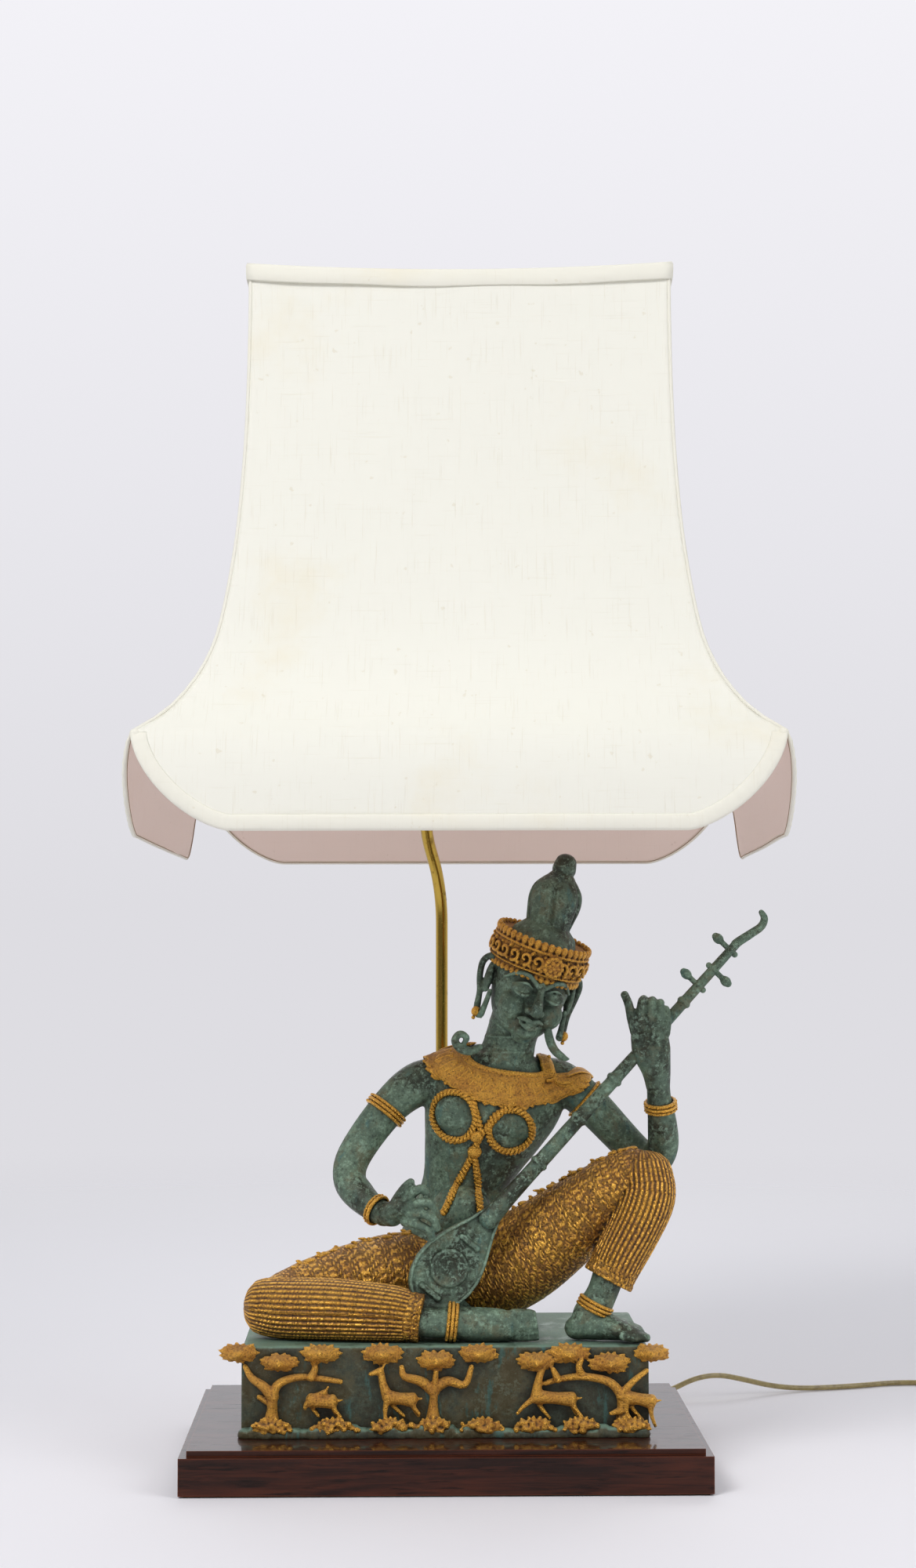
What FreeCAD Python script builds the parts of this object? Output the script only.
"""Figural table lamp: a parcel-gilt bronze lute player on a cast pedestal and a wood base.

Millimetres. +Z is up, +X is to the viewer's right, and the figure looks towards -Y.
The origin is the centre of the base's underside, on the table.
"""

import FreeCAD
import Part
import Sketcher
import math
import os
from FreeCAD import Matrix, Placement, Rotation
from FreeCAD import Vector as V

os.makedirs("parts", exist_ok=True)
doc = FreeCAD.newDocument("figural_table_lamp")

# ---------------------------------------------------------------- driving dimensions

SIZES = (
    ("base_width", 380.0, "wood base, left to right"),
    ("base_depth", 264.0, "wood base, front to back"),
    ("base_edge", 27.7, "table to the lower step"),
    ("base_top", 32.0, "table to the top of the wood"),
    ("step_inset", 5.5, "width of the step round the top"),
    ("felt_thick", 1.2, "felt under the base"),
    ("felt_inset", 3.0, "felt edge inside the wood's edge"),
    ("recess_width", 52.0, "wiring recess, across"),
    ("recess_depth", 22.0, "wiring recess, up from the felt"),
    ("cord_hole", 9.0, "hole through the back edge"),
    ("cord_height", 11.0, "cord's centre above the table where it leaves"),
    ("pedestal_width", 297.0, "bronze pedestal, left to right"),
    ("pedestal_depth", 156.0, "bronze pedestal, front to back"),
    ("pedestal_height", 65.0, "bronze pedestal"),
    ("pedestal_wall", 5.0, "thickness of the hollow casting"),
    ("pedestal_round", 3.5, "rounded top edge of the casting"),
    ("lug_width", 20.0, "corner lug inside the casting"),
    ("screw_size", 5.0, "screws that hold the pedestal"),
    ("screw_head", 9.0, "head of those screws"),
    ("screw_head_thick", 3.2, "head of those screws, height"),
    ("screw_grip", 16.0, "how far a screw goes into its lug"),
    ("counterbore", 11.0, "recess for a screw head"),
    ("counterbore_depth", 12.0, "recess for a screw head, up from the underside"),
    ("relief_depth", 9.0, "how far the trees stand out of the pedestal"),
    ("rock_spread", 10.0, "how far the rocks stand out past the pedestal"),
    ("tube_size", 9.5, "brass tube, outside"),
    ("tube_bore", 7.3, "brass tube, inside"),
    ("tube_back", 99.0, "tube behind the centre of the base"),
    ("tube_tail", 13.0, "tube below the top of the recess"),
    ("flange_width", 24.0, "turned flange where the tube leaves the wood"),
    ("flange_height", 6.0, "turned flange, height"),
    ("nut_width", 14.0, "hexagon nuts on the tube, across the flats"),
    ("nut_height", 4.0, "hexagon nuts on the tube"),
    ("washer_width", 26.0, "washer under the base nut"),
    ("washer_thick", 1.5, "washer under the base nut"),
    ("lead_size", 5.0, "inner lead, outside"),
    ("saddle_x", 14.0, "lamp holder seat, from the centre of the base"),
    ("saddle_y", 5.0, "lamp holder seat, from the centre of the base"),
    ("saddle_rise", 578.0, "lamp holder seat above the top of the wood"),
    ("shade_lean", 1.9, "degrees that the upper assembly leans back"),
    ("shade_roll", 0.75, "degrees that it leans to the viewer's left"),
    ("shade_turn", 1.95, "degrees that the shade is turned on the lamp"),
    ("saddle_span", 44.0, "harp saddle, between its two ears"),
    ("saddle_strip", 11.0, "harp saddle, width of its strip"),
    ("strip_thick", 1.2, "harp saddle, thickness"),
    ("saddle_ear", 12.0, "harp saddle, height of its ears"),
    ("harp_height", 241.0, "harp seat above the saddle"),
    ("harp_width", 118.0, "harp at its widest"),
    ("harp_wire", 3.2, "harp wire"),
    ("ferrule_size", 5.2, "sliding ferrules on the harp's feet"),
    ("ferrule_length", 12.0, "sliding ferrules on the harp's feet"),
    ("stud_size", 6.0, "threaded stud on the harp"),
    ("stud_length", 12.0, "threaded stud on the harp"),
    ("holder_size", 33.0, "lamp holder cap, outside"),
    ("holder_wall", 0.7, "lamp holder cap and shell"),
    ("cap_height", 20.0, "lamp holder cap"),
    ("shell_height", 42.0, "lamp holder shell, above the cap's shoulder"),
    ("liner_thick", 0.8, "fibre liner inside the shell"),
    ("screw_shell_size", 27.4, "screw shell, outside"),
    ("screw_shell_wall", 0.6, "screw shell"),
    ("knob_size", 11.0, "switch knob"),
    ("knob_length", 13.0, "switch knob"),
    ("bulb_size", 60.0, "bulb at its widest"),
    ("bulb_length", 106.0, "bulb, whole"),
    ("finial_size", 13.0, "finial at its widest"),
    ("finial_height", 28.0, "finial"),
    ("shade_height", 400.0, "shade, flat bottom to top corners"),
    ("shade_recess", 11.0, "top of the shade above the harp's seat"),
    ("shade_thick", 1.6, "cloth on card"),
    ("top_half", 147.4, "half width of the shade at the top"),
    ("bottom_half", 231.0, "half width of the shade at the bottom"),
    ("corner_across", 75.0, "rounded lower corner, from the bottom's half width"),
    ("corner_rise", 65.0, "rounded lower corner, height"),
    ("tip_away", 14.5, "how far in from the bottom's half width the tips are"),
    ("binding_width", 12.0, "cloth binding round the top"),
    ("binding_thick", 1.2, "cloth binding, thickness"),
    ("frame_wire", 3.0, "wire of the shade's frame"),
    ("spider_washer", 22.0, "washer that the finial clamps"),
    ("flex_size", 4.6, "cord, as a round tube of the same bulk"),
    ("coil_gap", 1.2, "gap between the coil's turns"),
    ("coil_inside", 18.7, "radius of the coil's innermost turn"),
    ("bushing_length", 22.0, "tapered strain relief"),
    ("plug_length", 36.0, "plug body with its neck"),
)

sheet = doc.addObject("Spreadsheet::Sheet", "sizes")
for row, (alias, value, meaning) in enumerate(SIZES, 1):
    sheet.set(f"A{row}", meaning)
    sheet.set(f"B{row}", str(value))
    sheet.setAlias(f"B{row}", alias)
doc.recompute()


def size(alias):
    """The value of one of the sheet's cells."""
    return float(sheet.get(alias))


nodes = {}


def keep(label, thing):
    """Names a finished sub-part."""
    thing.Label = label
    nodes[label] = thing
    return thing


# ---------------------------------------------------------------- modelling helpers


def origin_plane(body, role):
    return next(f for f in body.Origin.OriginFeatures if f.Role == role)


def sketch_on(body, name, role="XY_Plane", offset="0"):
    """A sketch on one of the body's own origin planes, moved along its normal."""
    sketch = body.newObject("Sketcher::SketchObject", name)
    sketch.AttachmentSupport = (origin_plane(body, role), [""])
    sketch.MapMode = "FlatFace"
    sketch.setExpression("AttachmentOffset.Base.z", offset)
    return sketch


def centred_rectangle(sketch, width, depth):
    """A rectangle round the sketch's origin whose two sides follow the sheet."""
    corners = [V(-10, -8, 0), V(10, -8, 0), V(10, 8, 0), V(-10, 8, 0)]
    for i in range(4):
        sketch.addGeometry(Part.LineSegment(corners[i], corners[(i + 1) % 4]))
    for i in range(4):
        sketch.addConstraint(Sketcher.Constraint("Coincident", i, 2, (i + 1) % 4, 1))
    for i in (0, 2):
        sketch.addConstraint(Sketcher.Constraint("Horizontal", i))
        sketch.addConstraint(Sketcher.Constraint("Vertical", i + 1))
    sketch.addConstraint(Sketcher.Constraint("Symmetric", 0, 1, 1, 2, -1, 1))
    for kind, edge, rule in (("DistanceX", 0, width), ("DistanceY", 1, depth)):
        spot = sketch.addConstraint(Sketcher.Constraint(kind, edge, 1, edge, 2, 10.0))
        sketch.renameConstraint(spot, kind.lower())
        sketch.setExpression(f"Constraints.{kind.lower()}", rule)


def pad(body, name, sketch, length):
    feature = body.newObject("PartDesign::Pad", name)
    feature.Profile = sketch
    feature.setExpression("Length", length)
    sketch.Visibility = False
    return feature


def pocket_up(body, name, sketch, depth):
    """A pocket that goes up from its sketch, and has to take something away."""
    doc.recompute()
    before = body.Shape.Volume
    feature = body.newObject("PartDesign::Pocket", name)
    feature.Profile = sketch
    feature.Reversed = True
    feature.setExpression("Length", depth)
    doc.recompute()
    if body.Shape.Volume > before - 1:
        raise RuntimeError(f"{name} cuts nothing")
    return feature


def bound(kind, name, turn=None, **rules):
    """A Part primitive whose properties follow the sheet."""
    solid = doc.addObject(kind, name)
    if turn is not None:
        solid.Placement = Placement(V(), turn)
    for prop, rule in rules.items():
        target = f"Placement.Base.{prop}" if prop in "xyz" else prop
        solid.setExpression(target, rule)
    return solid


def cut(name, base, *tools):
    """base with each tool taken away in turn, as Part::Cut objects."""
    for i, tool in enumerate(tools, 1):
        result = doc.addObject("Part::Cut", name if i == len(tools) else f"{name}_{i}")
        result.Base = base
        result.Tool = tool
        base = result
    return base


def fuse(name, *pieces):
    result = doc.addObject("Part::MultiFuse", name)
    result.Shapes = list(pieces)
    return result


def feature(label, shape, placement=None):
    """A sub-part whose shape comes from Part's own functions."""
    thing = doc.addObject("Part::Feature", label)
    thing.Shape = shape
    if placement is not None:
        thing.Placement = placement.multiply(shape.Placement)
    return keep(label, thing)


def turned(*profile):
    """A solid turned about Z from (radius, height) points, from the axis round to the axis."""
    points = [V(r, 0, z) for r, z in profile]
    return Part.Face(Part.makePolygon(points + points[:1])).revolve(V(), V(0, 0, 1), 360)


def barrel(radius, bottom, top, bore=0.0):
    """A plain round piece, hollow where it has a bore."""
    solid = Part.makeCylinder(radius, top - bottom, V(0, 0, bottom))
    if bore:
        solid = solid.cut(Part.makeCylinder(bore, top - bottom + 2, V(0, 0, bottom - 1)))
    return solid


def oval(centre, along, across, half_across, half_deep, sides=12):
    """A closed faceted oval square to `along`."""
    along = V(along).normalize()
    across = (across - along * across.dot(along)).normalize()
    deep = along.cross(across)
    turns = [2 * math.pi * k / sides for k in range(sides)]
    ring = [
        centre + across * half_across * math.cos(t) + deep * half_deep * math.sin(t) for t in turns
    ]
    return Part.makePolygon(ring + ring[:1])


# Each rounded end: how far out in radii, and how much of the radius is left there.
ROUNDING = ((0.55, 0.82), (0.9, 0.42))


def limb(stations, across=V(1, 0, 0), sides=12, round_start=True, round_end=True):
    """A faceted form through ovals given as (x, y, z, half across, half deep)."""
    centres = [V(*s[:3]) for s in stations]
    last = len(stations) - 1
    wires = []
    for i, (x, y, z, half_across, half_deep) in enumerate(stations):
        along = centres[min(i + 1, last)] - centres[max(i - 1, 0)]
        wires.append(oval(centres[i], along, across, half_across, half_deep, sides))
    for wanted, end, inner in ((round_start, 0, 1), (round_end, last, last - 1)):
        if not wanted:
            continue
        out = (centres[end] - centres[inner]).normalize()
        along = out if end else -out
        half_across, half_deep = stations[end][3:]
        caps = []
        for step, share in ROUNDING:
            spot = centres[end] + out * min(half_across, half_deep) * step
            caps.append(oval(spot, along, across, half_across * share, half_deep * share, sides))
        wires = wires + caps if end else caps[::-1] + wires
    return Part.makeLoft(wires, True, True)


def joined(pieces):
    """The pieces fused one after another."""
    solid = pieces[0]
    for piece in pieces[1:]:
        solid = solid.fuse(piece)
    return solid


def trimmed(solid, *others):
    """What is left of a casting outside the others: its largest piece."""
    for other in others:
        solid = solid.cut(other)
    return max(solid.Solids, key=lambda piece: piece.Volume)


def bar(start, end, start_radius, end_radius, sides=6):
    """A straight tapered bar with flat sides."""
    start, end = V(*start), V(*end)
    along = (end - start).normalize()
    side = V(0, 0, 1) if abs(along.z) < 0.8 else V(1, 0, 0)
    across = along.cross(side).normalize()
    deep = along.cross(across)
    wires = []
    for centre, radius in ((start, start_radius), (end, end_radius)):
        ring = [
            centre + across * radius * math.cos(t) + deep * radius * math.sin(t)
            for t in (2 * math.pi * k / sides for k in range(sides))
        ]
        wires.append(Part.makePolygon(ring + ring[:1]))
    return Part.makeLoft(wires, True, True)


def rounded_path(points):
    """Straight runs joined by tangent arcs, each as large as its two runs allow."""
    edges, radii, here = [], [], points[0]
    for before, corner, after in zip(points, points[1:], points[2:]):
        back, ahead = before - corner, after - corner
        turn = math.pi - back.getAngle(ahead)
        reach = 0.45 * min(back.Length, ahead.Length)
        radii.append(reach / math.tan(turn / 2))
        back, ahead = back.normalize(), ahead.normalize()
        start, end = corner + back * reach, corner + ahead * reach
        centre = corner + (back + ahead).normalize() * (radii[-1] / math.cos(turn / 2))
        middle = centre + (corner - centre).normalize() * radii[-1]
        edges += [Part.LineSegment(here, start), Part.Arc(start, middle, end)]
        here = end
    edges.append(Part.LineSegment(here, points[-1]))
    return Part.Wire([edge.toShape() for edge in edges]), radii


def rod(path, radius):
    """A round rod swept along a wire."""
    start = path.Edges[0].valueAt(path.Edges[0].FirstParameter)
    heading = path.Edges[0].tangentAt(path.Edges[0].FirstParameter)
    ring = Part.Wire(Part.Circle(start, heading, radius).toShape())
    return path.makePipeShell([ring], True, False)


def report_rod(name, path, solid, radius, radii):
    ideal = math.pi * radius**2 * path.Length
    print(
        f"{name}: length {path.Length:.0f} mm, volume / (section x length) "
        f"{solid.Volume / ideal:.4f}, radii {[round(r) for r in radii]}"
    )


# ---------------------------------------------------------------- wood base and felt


def wood_base():
    body = doc.addObject("PartDesign::Body", "wood_block")
    outline = sketch_on(body, "wood_outline", offset="sizes.felt_thick")
    centred_rectangle(outline, "sizes.base_width", "sizes.base_depth")
    pad(body, "wood_edge", outline, "sizes.base_edge - sizes.felt_thick")
    step = sketch_on(body, "wood_step", offset="sizes.base_edge")
    centred_rectangle(
        step, "sizes.base_width - 2 * sizes.step_inset", "sizes.base_depth - 2 * sizes.step_inset"
    )
    pad(body, "wood_top", step, "sizes.base_top - sizes.base_edge")
    doc.recompute()

    tools = [
        bound(
            "Part::Cylinder",
            "recess_tool",
            Radius="sizes.recess_width / 2",
            Height="sizes.recess_depth",
            y="sizes.tube_back",
            z="sizes.felt_thick",
        ),
        bound(
            "Part::Cylinder",
            "tube_hole_tool",
            Radius="sizes.tube_size / 2 + 0.3",
            Height="sizes.base_top",
            y="sizes.tube_back",
        ),
        bound(
            "Part::Cylinder",
            "cord_hole_tool",
            turn=Rotation(V(1, 0, 0), -90),
            Radius="sizes.cord_hole / 2",
            Height="sizes.base_depth",
            y="sizes.tube_back",
            z="sizes.cord_height",
        ),
    ]
    for name, sx, sy in screw_corners():
        for kind, radius, low, height in (
            ("clear", "sizes.screw_size / 2 + 0.2", "0", "sizes.base_top + 1"),
            ("sunk", "sizes.counterbore / 2", "sizes.felt_thick", "sizes.counterbore_depth"),
        ):
            tools.append(
                bound(
                    "Part::Cylinder",
                    f"{kind}_{name}",
                    Radius=radius,
                    Height=height,
                    x=sx,
                    y=sy,
                    z=low,
                )
            )
    keep("wood_base", cut("wood_base", body, *tools))


LUG_X = "(sizes.pedestal_width / 2 - sizes.pedestal_wall - sizes.lug_width / 2)"
LUG_Y = "(sizes.pedestal_depth / 2 - sizes.pedestal_wall - sizes.lug_width / 2)"


def screw_corners():
    """The four screws: a name for each and its place."""
    for name, sign_x, sign_y in (("fl", -1, -1), ("fr", 1, -1), ("bl", -1, 1), ("br", 1, 1)):
        yield name, f"{sign_x} * {LUG_X}", f"{sign_y} * {LUG_Y}"


def felt_pad():
    body = doc.addObject("PartDesign::Body", "felt_body")
    outline = sketch_on(body, "felt_outline")
    centred_rectangle(
        outline, "sizes.base_width - 2 * sizes.felt_inset", "sizes.base_depth - 2 * sizes.felt_inset"
    )
    pad(body, "felt_sheet", outline, "sizes.felt_thick")
    keep("felt_pad", body)


# ---------------------------------------------------------------- bronze pedestal


def pedestal():
    body = doc.addObject("PartDesign::Body", "pedestal_body")
    outline = sketch_on(body, "pedestal_outline", offset="sizes.base_top")
    centred_rectangle(outline, "sizes.pedestal_width", "sizes.pedestal_depth")
    block = pad(body, "pedestal_block", outline, "sizes.pedestal_height")
    doc.recompute()
    top = size("base_top") + size("pedestal_height")
    rim = [
        f"Edge{i}"
        for i, edge in enumerate(block.Shape.Edges, 1)
        if abs(edge.CenterOfMass.z - top) < 0.01
    ]
    rounding = body.newObject("PartDesign::Fillet", "pedestal_rim")
    rounding.Base = (block, rim)
    rounding.setExpression("Radius", "sizes.pedestal_round")
    hollow = sketch_on(body, "pedestal_hollow", offset="sizes.base_top")
    centred_rectangle(
        hollow,
        "sizes.pedestal_width - 2 * sizes.pedestal_wall",
        "sizes.pedestal_depth - 2 * sizes.pedestal_wall",
    )
    pocket_up(
        body, "pedestal_inside", hollow, "sizes.pedestal_height - sizes.pedestal_wall"
    )
    lugs, threads = [], []
    for name, sx, sy in screw_corners():
        lugs.append(
            bound(
                "Part::Box",
                f"lug_{name}",
                Length="sizes.lug_width",
                Width="sizes.lug_width",
                Height="sizes.screw_grip + 6",
                x=f"{sx} - sizes.lug_width / 2",
                y=f"{sy} - sizes.lug_width / 2",
                z="sizes.base_top",
            )
        )
        threads.append(
            bound(
                "Part::Cylinder",
                f"thread_{name}",
                Radius="sizes.screw_size / 2",
                Height="sizes.screw_grip + 1",
                x=sx,
                y=sy,
                z="sizes.base_top",
            )
        )
    keep("pedestal_casting", cut("pedestal", fuse("pedestal_with_lugs", body, *lugs), *threads))


def pedestal_screws():
    pieces = []
    for name, sx, sy in screw_corners():
        head_z = "(sizes.felt_thick + sizes.counterbore_depth - sizes.screw_head_thick)"
        pieces.append(
            bound(
                "Part::Cylinder",
                f"head_{name}",
                Radius="sizes.screw_head / 2",
                Height="sizes.screw_head_thick",
                x=sx,
                y=sy,
                z=head_z,
            )
        )
        pieces.append(
            bound(
                "Part::Cylinder",
                f"shank_{name}",
                Radius="sizes.screw_size / 2",
                Height=f"sizes.base_top + sizes.screw_grip - {head_z}",
                x=sx,
                y=sy,
                z=head_z,
            )
        )
    keep("pedestal_screws", fuse("screws", *pieces))


# The relief, in millimetres across from the middle and up from the top of the wood.
CROWNS = (
    # across, up, half width
    (-148, 57, 13),
    (-120, 52, 12),
    (-90, 57, 13),
    (-46, 58, 13),
    (-9, 52, 14),
    (22, 57, 13),
    (63, 52, 13),
    (88, 57, 13),
    (118, 50, 12),
    (149, 55, 13),
)
TREES = (
    # each branch: from and to as (across, up), with the two radii
    (((-128, 8), (-126, 30), 4.5, 3.5), ((-126, 30), (-146, 46), 3.2, 2.2)),
    (((-126, 30), (-92, 40), 3.0, 2.4), ((-92, 40), (-74, 38), 2.4, 1.8)),
    (((-96, 39), (-90, 50), 2.2, 1.8), ((-124, 32), (-120, 46), 2.4, 1.8)),
    (((-8, 4), (-9, 46), 5.0, 3.2), ((-9, 34), (16, 38), 3.0, 2.4)),
    (((-9, 38), (-44, 50), 3.0, 2.2), ((16, 38), (22, 50), 2.4, 2.0)),
    (((133, 8), (131, 34), 4.5, 3.4), ((131, 34), (146, 46), 3.0, 2.2)),
    (((131, 32), (80, 40), 3.0, 2.4), ((80, 40), (63, 46), 2.4, 1.8)),
    (((104, 37), (88, 50), 2.2, 1.8), ((128, 36), (118, 46), 2.2, 1.8)),
)
ANIMALS = (
    # nose, shoulder, rump as (across, up), then the height of its feet
    ((-98, 34), (-86, 24), (-72, 24), 8),
    ((-50, 34), (-38, 22), (-20, 22), 6),
    ((84, 40), (66, 24), (46, 24), 6),
    ((152, 30), (140, 20), (122, 20), 6),
)
ROCKS = ((-128, 12), (-82, 11), (-40, 12), (-9, 13), (22, 11), (63, 13), (96, 12), (134, 13))


def leaf_crown(across, up, half, front):
    """A jagged parasol of leaves, wide at the wall and narrower in front."""
    wires = []
    for depth, share in ((0.0, 1.0), (0.6, 0.92), (1.0, 0.45)):
        ring = []
        for k in range(14):
            angle = math.pi * 2 * k / 14
            tooth = 1.0 if k % 2 == 0 else 0.78
            ring.append(
                V(
                    across + half * share * tooth * math.cos(angle),
                    front - size("relief_depth") * depth,
                    up + 7.0 * share * tooth * math.sin(angle),
                )
            )
        wires.append(Part.makePolygon(ring + ring[:1]))
    return Part.makeLoft(wires, True, True)


def pedestal_frieze():
    """Trees, animals and rocks, cast on the pedestal's front wall."""
    front = -size("pedestal_depth") / 2
    foot = size("base_top")
    relief = size("relief_depth")
    pieces = [leaf_crown(x, foot + z, half, front) for x, z, half in CROWNS]
    for tree in TREES:
        for start, end, start_radius, end_radius in tree:
            pieces.append(
                bar(
                    (start[0], front - 2.0, foot + start[1]),
                    (end[0], front - 2.5, foot + end[1]),
                    start_radius,
                    end_radius,
                )
            )
    middle = front - 4.5
    for nose, shoulder, rump, low in ANIMALS:
        spots = [(x, middle, foot + z) for x, z in (nose, shoulder, rump)]
        pieces.append(bar(spots[1], spots[2], 6.5, 7.0, 8))
        pieces.append(bar(spots[1], spots[0], 5.0, 2.6))
        facing = math.copysign(1, nose[0] - rump[0])
        muzzle = (nose[0] + 7 * facing, middle, foot + nose[1] - 3)
        pieces.append(bar(spots[0], muzzle, 3.4, 1.8))
        for spot, reach in ((spots[1], 3), (spots[1], -2), (spots[2], 3), (spots[2], -3)):
            hoof = (spot[0] + reach * facing, middle, foot + low)
            pieces.append(bar(spot, hoof, 2.8, 1.6, 5))
    spread = size("rock_spread")
    half = size("pedestal_width") / 2
    ground = [V(-half - spread, front, foot), V(half + spread, front, foot)]
    ground += [V(half + spread, front - spread, foot), V(-half - spread, front - spread, foot)]
    upper = [V(-half - 2, front, foot + 9), V(half + 2, front, foot + 9)]
    upper += [V(half + 2, front - 4, foot + 9), V(-half - 2, front - 4, foot + 9)]
    pieces.append(
        Part.makeLoft(
            [Part.makePolygon(ground + ground[:1]), Part.makePolygon(upper + upper[:1])], True, True
        )
    )
    for x, tall in ROCKS:
        pieces.append(
            bar((x, front - 1, foot + 1), (x + 2, front - 4, foot + tall), 15.0, 5.0, 7)
        )
    solid = pieces[0].multiFuse(pieces[1:])
    room = Part.makeBox(
        2 * half + 2 * spread + 20,
        spread + relief + 20,
        size("pedestal_height"),
        V(-half - spread - 10, front - spread - relief - 20, foot),
    )
    feature("pedestal_frieze", solid.common(room).removeSplitter())


# ---------------------------------------------------------------- the cast figure

# Points and stations are measured from the figure's seat, the top of the pedestal.
SEAT = V(0, 0, size("base_top") + size("pedestal_height"))

TORSO = (
    (3, 14, 4, 56, 42),
    (6, 14, 30, 55, 42),
    (9, 14, 62, 47, 36),
    (13, 14, 92, 37, 30),
    (17, 12, 113, 33.5, 27),
    (25, 9, 141, 42, 30),
    (33, 7, 167, 52, 33),
    (40, 7, 188, 56, 30),
    (45, 5, 202, 39, 25),
    (48, 3, 211, 24, 21),
    (52, 0, 226, 21.5, 20),
)
HEAD_CENTRE = V(64, -6, 254)
HEAD_TILT = 16.5
HEAD = (
    (0, -15, -37, 9, 8),
    (0, -13, -31, 17, 15),
    (0, -8, -20, 24, 23),
    (0, -3, -8, 28, 30),
    (0, 0, 10, 30, 33),
    (0, 1, 26, 30, 33),
    (0, 2, 40, 26, 28),
)
TOPKNOT = ((0, 50, 17), (0, 56, 19), (0, 64, 18.5), (0, 72, 20.5), (0, 80, 20), (0, 88, 16), (0, 95, 9))
PLUCKING_ARM = (
    (-2, 10, 190, 15, 15),
    (-20, 7, 185, 16.5, 16),
    (-40, 2, 170, 14.5, 14.5),
    (-60, -3, 146, 13.5, 13.5),
    (-72, -9, 124, 13, 13),
    (-70, -19, 110, 12.5, 12.5),
    (-60, -31, 101, 11, 11),
    (-50, -41, 94, 9.5, 9.5),
    (-43, -47, 91, 8.5, 8.5),
)
FRETTING_ARM = (
    (78, 10, 190, 15, 15),
    (97, 9, 183, 16, 16),
    (116, 9, 165, 14.5, 14.5),
    (134, 7, 146, 13.5, 13.5),
    (150, 4, 129, 13, 13),
    (161, -3, 125, 12.5, 12.5),
    (166, -12, 138, 11.5, 11.5),
    (165, -20, 156, 11, 11),
    (162, -27, 175, 9.5, 9.5),
    (161, -30, 188, 9, 9),
)
FOLDED_THIGH = (
    (-5, 8, 38, 36, 36),
    (-45, -5, 38, 33, 33),
    (-90, -20, 32, 26, 27),
    (-122, -32, 24, 21, 21),
)
FOLDED_SHIN = (
    (-136, -38, 23, 17, 18),
    (-118, -44, 22, 22, 22),
    (-80, -52, 22, 22, 22.5),
    (-40, -58, 20, 19, 20),
    (-18, -61, 17, 16, 17),
)
FOLDED_FOOT = (
    (-18, -61, 16, 11, 12),
    (5, -61, 14, 11, 12),
    (32, -60, 12, 9, 13),
    (54, -58, 9, 6, 11),
)
RAISED_THIGH = (
    (25, 6, 38, 37, 37),
    (58, -6, 54, 35, 36),
    (92, -20, 80, 31, 31),
    (122, -34, 106, 25, 25),
    (142, -42, 122, 21, 21),
)
RAISED_SHIN = (
    (151, -45, 124, 19, 19),
    (150, -48, 104, 21, 22),
    (139, -51, 78, 20, 22),
    (127, -54, 58, 17, 19),
    (121, -55, 46, 16, 17),
)
RAISED_ANKLE = ((121, -55, 46, 11, 11), (114, -56, 30, 10, 11), (107, -57, 16, 11, 12))
RAISED_FOOT = (
    (96, -58, 11, 9, 10),
    (112, -60, 12, 11, 12),
    (130, -62, 8, 11, 8),
    (141, -64, 5, 9, 5),
)


def above_seat(shape):
    """The part of a figure's section that lies above the pedestal."""
    return shape.common(Part.makeBox(500, 300, 400, V(-250, -150, 0)))


def head_solid():
    """Skull, jaw, nose, ears, neck joint and the turned topknot, in the head's own frame."""
    skull = limb(HEAD)
    nose = bar((0, -34, 12), (0, -36, -7), 2.2, 4.6, 6)
    pieces = [skull, nose]
    for side in (-1, 1):
        ear = limb(
            ((side * 30, 4, 14, 3.0, 6.5), (side * 31, 4, 2, 3.2, 6.0), (side * 31, 3, -14, 2.6, 4.5)),
            sides=8,
        )
        pieces.append(ear)
    pieces.append(limb([(0, 0, 30, 17, 17)] + [(0, 0, z, r, r) for _, z, r in TOPKNOT]))
    pieces.append(limb(((0, 0, 96, 9, 9), (0, 0, 103, 8, 8)), sides=10))
    return joined(pieces)


def diadem_solid():
    """The gilt crown band, with a raised front."""
    band = ((12, 35, 38), (26, 38, 41), (40, 37, 40))
    rings = [oval(V(0, 0, z), V(0, 0, 1), V(1, 0, 0), a, b, 16) for z, a, b in band]
    outer = Part.makeLoft(rings, True, True)
    medallion = Part.makeCylinder(8, 6, V(10, -38, 26), V(0.2, -1, 0))
    return outer.fuse(medallion)


def band(centre, along, radius, wire, sides=12):
    """A faceted disc round a limb, to be cut by the limb into a bangle."""
    centre, along = V(*centre), V(*along).normalize()
    side = V(0, 0, 1) if abs(along.z) < 0.8 else V(1, 0, 0)
    wires = []
    for step, share in ((-1.0, 0.94), (-0.5, 1.0), (0.5, 1.0), (1.0, 0.94)):
        reach = (radius + wire) * share
        wires.append(oval(centre + along * wire * step, along, along.cross(side), reach, reach, sides))
    return Part.makeLoft(wires, True, True)


def hand(palm, fingers, thumb):
    """A hand from its palm's stations and straight finger bars."""
    pieces = [limb(palm, sides=10)]
    for joints, radius in fingers + thumb:
        for start, end in zip(joints, joints[1:]):
            along = (V(*end) - V(*start)).normalize() * radius * 0.6
            pieces.append(bar(V(*start) - along, V(*end) + along, radius, radius * 0.9))
    return joined(pieces)


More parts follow.
